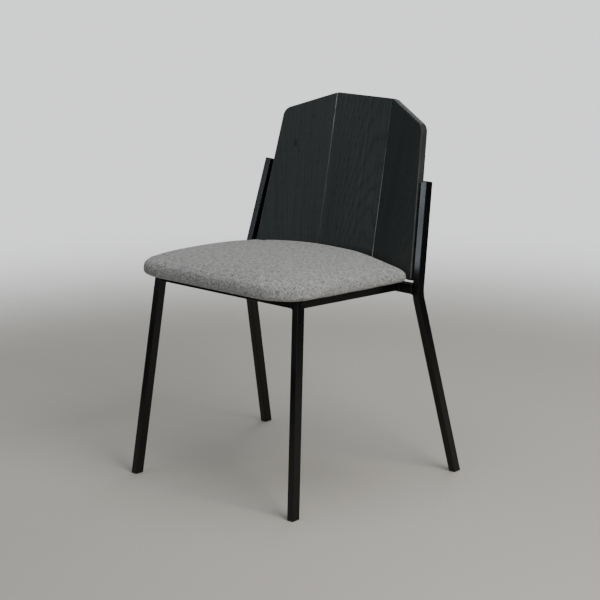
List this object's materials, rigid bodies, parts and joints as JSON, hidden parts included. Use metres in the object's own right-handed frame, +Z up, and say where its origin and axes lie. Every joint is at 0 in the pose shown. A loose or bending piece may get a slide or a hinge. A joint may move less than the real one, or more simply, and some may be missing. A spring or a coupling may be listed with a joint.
{
  "type": "dining chair",
  "caption": "Dining chair with a splayed black steel tube frame, a padded grey fabric seat and a low faceted black timber back held between two posts.",
  "frame": {"origin": "on the floor, under the middle of the overall width and depth", "axes": "+Z up, -Y the way the sitter faces, +X across the seat, to the right seen from the front"},
  "size_m": [0.5552, 0.503, 0.7628],
  "materials": {
    "frame_steel": "black powder coat, satin, on rectangular steel tube",
    "stained_wood": "black-stained open-grain timber, matt lacquer",
    "birch_plywood": "bare birch plywood",
    "seat_fabric": "grey melange woven upholstery fabric",
    "black_lining": "black non-woven lining",
    "seat_foam": "upholstery foam",
    "black_plastic": "black moulded plastic",
    "screw_zinc": "zinc-plated steel screws"
  },
  "bodies": {
    "root": {"back_board_left": "stained_wood", "back_board_middle": "stained_wood", "back_board_right": "stained_wood", "back_screw_high_a_left": "screw_zinc", "back_screw_high_a_right": "screw_zinc", "back_screw_high_b_left": "screw_zinc", "back_screw_high_b_right": "screw_zinc", "back_screw_low_a_left": "screw_zinc", "back_screw_low_a_right": "screw_zinc", "back_screw_low_b_left": "screw_zinc", "back_screw_low_b_right": "screw_zinc", "back_spline_left": "birch_plywood", "back_spline_right": "birch_plywood", "back_tab_high_left": "frame_steel", "back_tab_high_right": "frame_steel", "back_tab_low_left": "frame_steel", "back_tab_low_right": "frame_steel", "dust_cover": "black_lining", "front_leg_left": "frame_steel", "front_leg_right": "frame_steel", "front_rail": "frame_steel", "glide_front_left": "black_plastic", "glide_front_right": "black_plastic", "glide_rear_left": "black_plastic", "glide_rear_right": "black_plastic", "post_cap_left": "black_plastic", "post_cap_right": "black_plastic", "rear_leg_post_left": "frame_steel", "rear_leg_post_right": "frame_steel", "rear_rail": "frame_steel", "seat_board": "birch_plywood", "seat_cover": "seat_fabric", "seat_foam": "seat_foam", "seat_screw_front_left": "screw_zinc", "seat_screw_front_right": "screw_zinc", "seat_screw_rear_left": "screw_zinc", "seat_screw_rear_right": "screw_zinc", "seat_tab_front_left": "frame_steel", "seat_tab_front_right": "frame_steel", "seat_tab_rear_left": "frame_steel", "seat_tab_rear_right": "frame_steel", "side_rail_left": "frame_steel", "side_rail_right": "frame_steel"}
  },
  "joints": []
}
